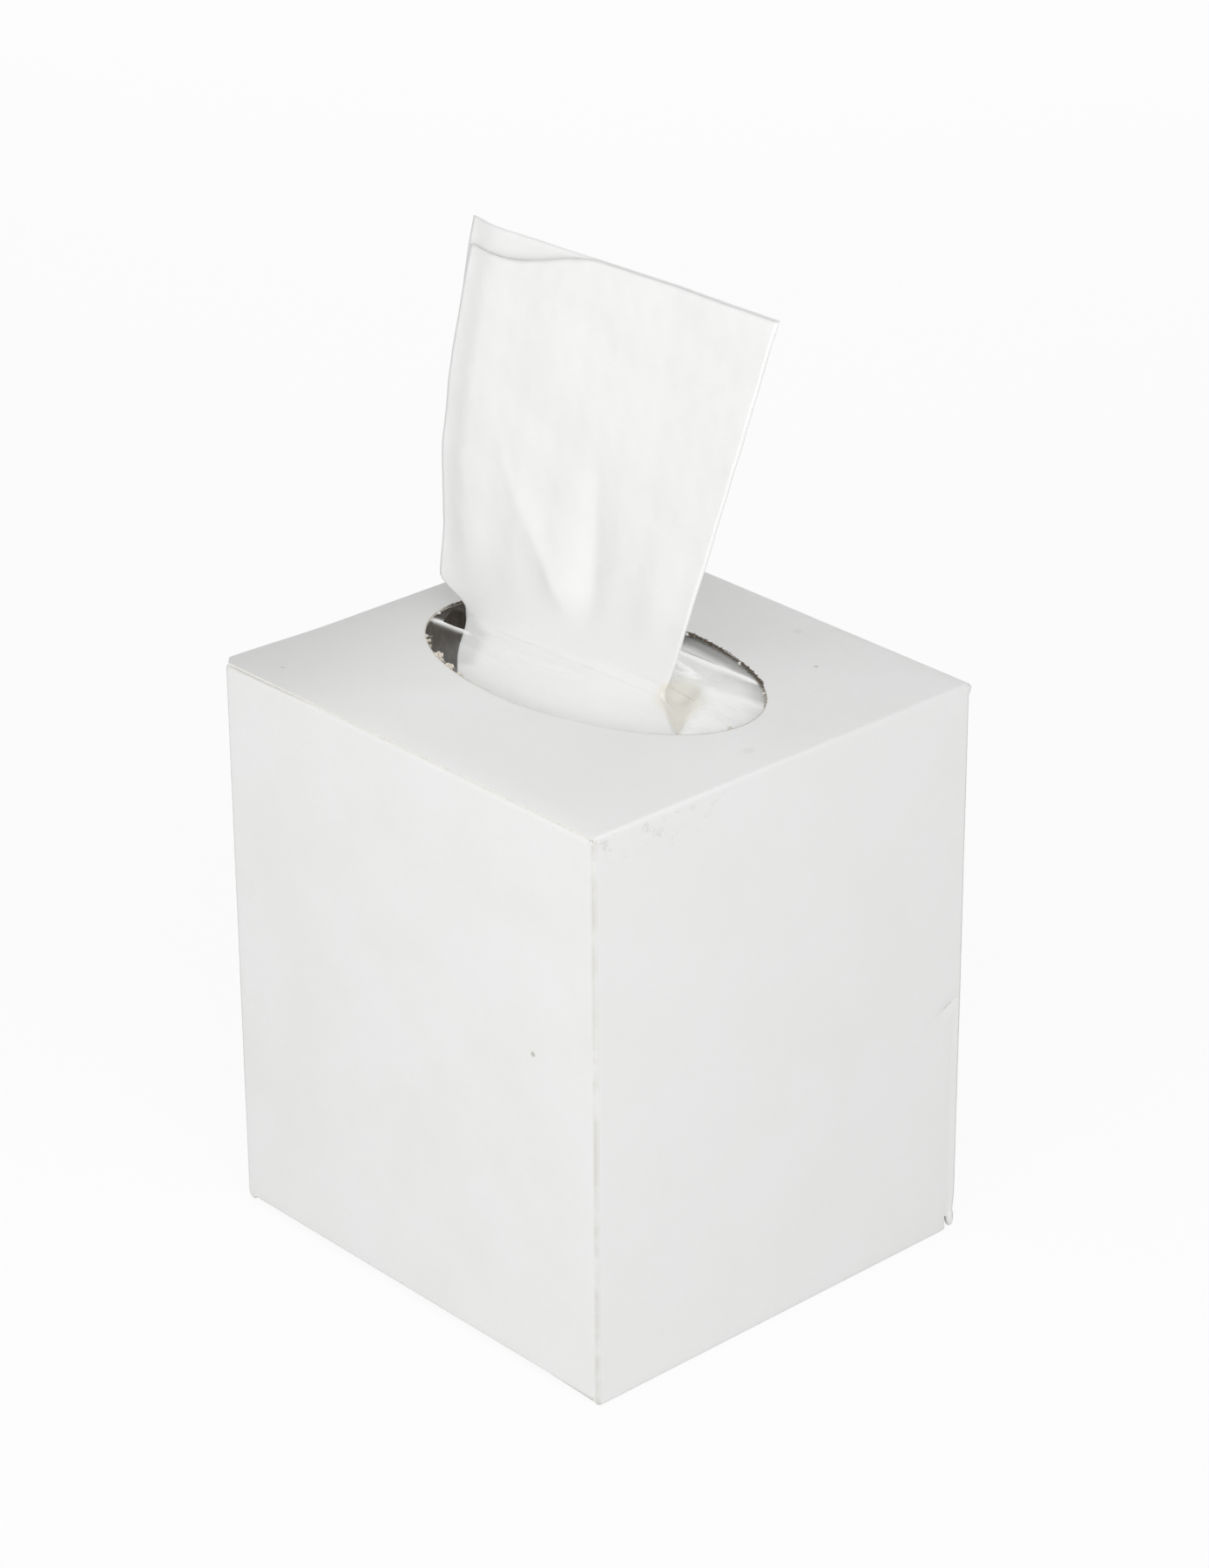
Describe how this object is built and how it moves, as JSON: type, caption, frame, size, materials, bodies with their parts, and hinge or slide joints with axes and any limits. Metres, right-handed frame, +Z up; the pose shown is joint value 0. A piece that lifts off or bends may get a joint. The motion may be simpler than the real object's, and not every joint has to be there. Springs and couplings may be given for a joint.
{
  "type": "tissue box",
  "caption": "Upright white paperboard tissue box with a film-lined oval mouth, the folded pile inside and one tissue drawn up through the film's slit.",
  "frame": {"origin": "middle of the carton's base, on the surface that it stands on", "axes": "+Z up; +X along the front and back walls towards the wall that carries the top panel; +Y from the front wall to the back wall"},
  "size_m": [0.117, 0.108, 0.224],
  "materials": {
    "board": "white uncoated board, faint grain, grey inside",
    "film": "thin clear film, glossy, lightly wrinkled",
    "pile": "soft white folded tissue",
    "tissue": "soft thin white tissue, slightly translucent"
  },
  "bodies": {
    "root": {"carton": "board", "slit_film": "film", "tissue_stack": "pile", "raised_tissue": "tissue"}
  },
  "joints": []
}
